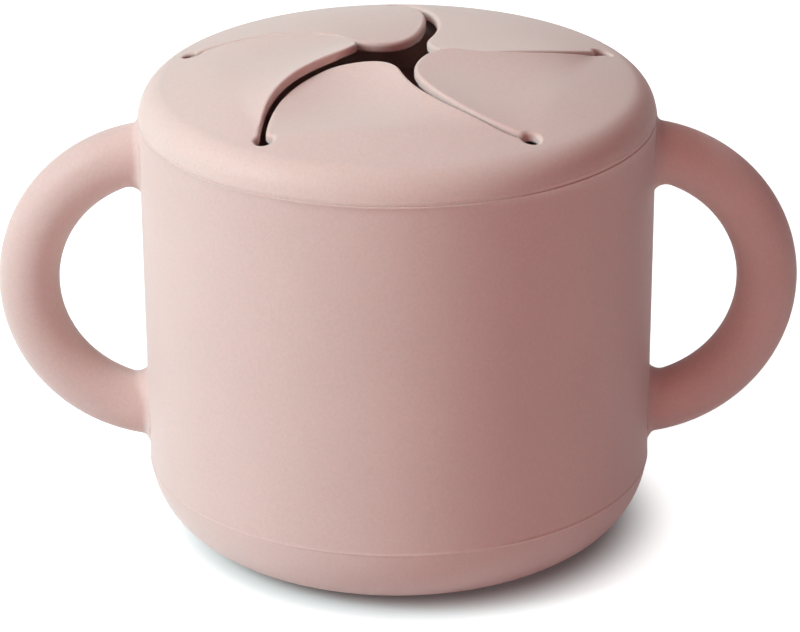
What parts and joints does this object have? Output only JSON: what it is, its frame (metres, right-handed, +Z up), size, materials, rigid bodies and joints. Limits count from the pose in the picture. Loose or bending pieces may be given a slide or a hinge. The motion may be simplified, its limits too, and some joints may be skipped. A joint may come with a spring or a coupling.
{
  "type": "toddler snack container",
  "caption": "Round soft snack cup with a loop handle on each side and a domed push-on lid, cut by curved slits into flaps that a small hand pushes through",
  "frame": {"origin": "centre of the flat face that the cup stands on", "axes": "+Z up, +X from the left handle to the right handle as seen from the front, front towards -Y"},
  "size_m": [0.1376, 0.088, 0.0869],
  "materials": {
    "cup": "matte dusty pink silicone with a fine powdery grain",
    "lid": "matte dusty pink silicone, a touch paler, thin enough to bend"
  },
  "bodies": {
    "cup": {"cup_body": "cup", "handle_left": "cup", "handle_right": "cup"},
    "lid": {"lid_rim": "lid"},
    "flap_front": {"flap_front": "lid"},
    "flap_right": {"flap_right": "lid"},
    "flap_rear_right": {"flap_rear_right": "lid"},
    "flap_rear_left": {"flap_rear_left": "lid"},
    "flap_left": {"flap_left": "lid"}
  },
  "joints": [
    {"name": "lid_lift", "type": "slide", "parent": "cup", "child": "lid", "axis": [0, 0, 1], "range_m": [0, 0.06]},
    {"name": "flap_front_bend", "type": "hinge", "parent": "lid", "child": "flap_front", "pos_m": [0, -0.02743, 0.08243], "axis": [-1, 0, 0], "range_deg": [-30, 60], "stiffness_Nm_per_rad": 0.03},
    {"name": "flap_right_bend", "type": "hinge", "parent": "lid", "child": "flap_right", "pos_m": [0.02609, -0.00848, 0.08243], "axis": [-0.309, -0.9511, 0], "range_deg": [-30, 60], "stiffness_Nm_per_rad": 0.03},
    {"name": "flap_rear_right_bend", "type": "hinge", "parent": "lid", "child": "flap_rear_right", "pos_m": [0.01613, 0.02219, 0.08243], "axis": [0.809, -0.5878, 0], "range_deg": [-30, 60], "stiffness_Nm_per_rad": 0.03},
    {"name": "flap_rear_left_bend", "type": "hinge", "parent": "lid", "child": "flap_rear_left", "pos_m": [-0.01613, 0.02219, 0.08243], "axis": [0.809, 0.5878, 0], "range_deg": [-30, 60], "stiffness_Nm_per_rad": 0.03},
    {"name": "flap_left_bend", "type": "hinge", "parent": "lid", "child": "flap_left", "pos_m": [-0.02609, -0.00848, 0.08243], "axis": [-0.309, 0.9511, 0], "range_deg": [-30, 60], "stiffness_Nm_per_rad": 0.03}
  ]
}
